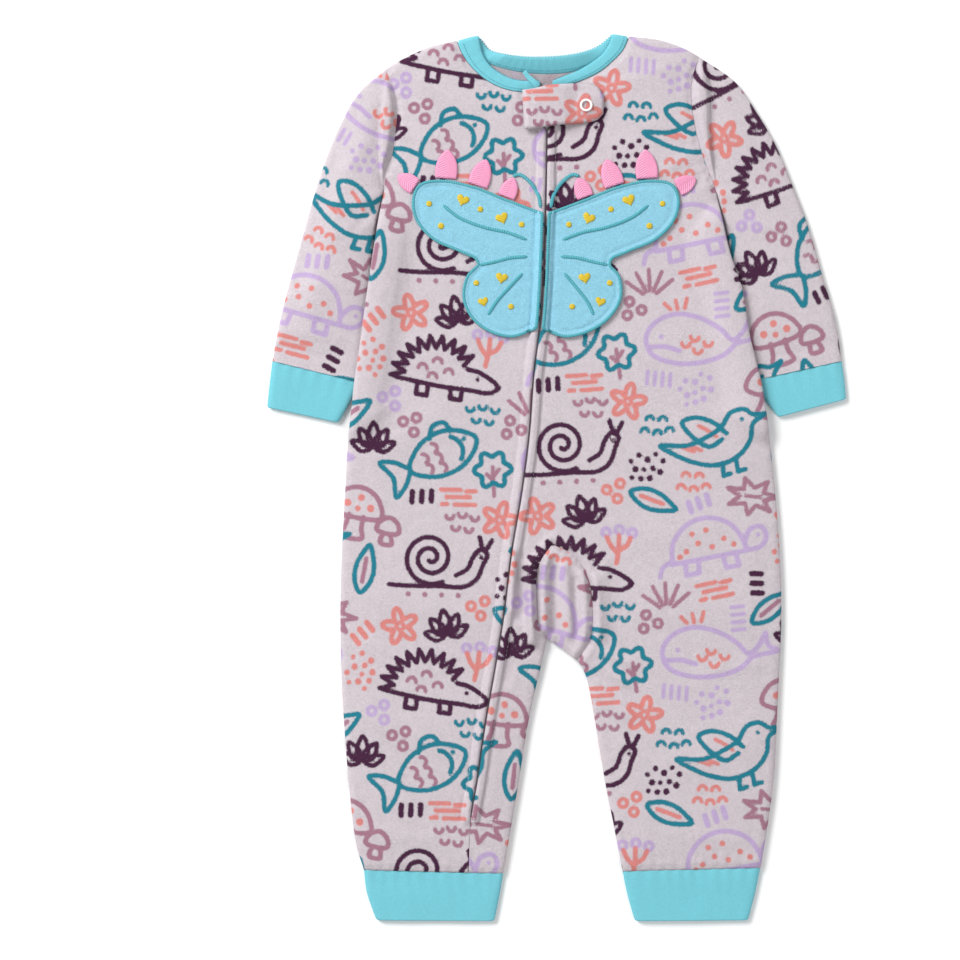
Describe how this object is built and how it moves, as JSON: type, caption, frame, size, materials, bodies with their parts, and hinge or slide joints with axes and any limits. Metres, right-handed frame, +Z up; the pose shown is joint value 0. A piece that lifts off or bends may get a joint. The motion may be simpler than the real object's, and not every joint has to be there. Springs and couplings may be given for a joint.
{
  "type": "onesie pajama",
  "caption": "Baby's footless long-sleeved pajama in printed fleece, laid flat front up, with a zip from neck to ankle under a snap tab, jersey cuffs and neck band, and a winged applique.",
  "frame": {"origin": "middle of the laid garment's box, on the surface that it lies on", "axes": "+Z up out of the front, +Y towards the neck, +X to the right of someone who looks down on it"},
  "size_m": [0.4178, 0.64, 0.0146],
  "materials": {
    "fleece": "printed napped fleece",
    "trim": "smooth jersey knit",
    "wing": "napped fleece applique",
    "petal": "satin",
    "tape": "woven zip tape with a nylon coil",
    "metal": "white enamel"
  },
  "bodies": {
    "root": {"back": "fleece", "front_left": "fleece", "front_right": "fleece", "gusset": "fleece", "sleeve_left": "fleece", "sleeve_right": "fleece", "cuff_sleeve_left": "trim", "cuff_sleeve_right": "trim", "cuff_leg_left": "trim", "cuff_leg_right": "trim", "neck_band": "trim", "zip_tape": "tape", "zip_slider": "metal", "zip_pull": "metal", "zip_tab": "fleece", "snap_ring": "metal", "snap_stud": "metal", "wing_left": "wing", "wing_right": "wing", "petal_left_1": "petal", "petal_left_2": "petal", "petal_left_3": "petal", "petal_left_4": "petal", "petal_right_1": "petal", "petal_right_2": "petal", "petal_right_3": "petal", "petal_right_4": "petal"}
  },
  "joints": []
}
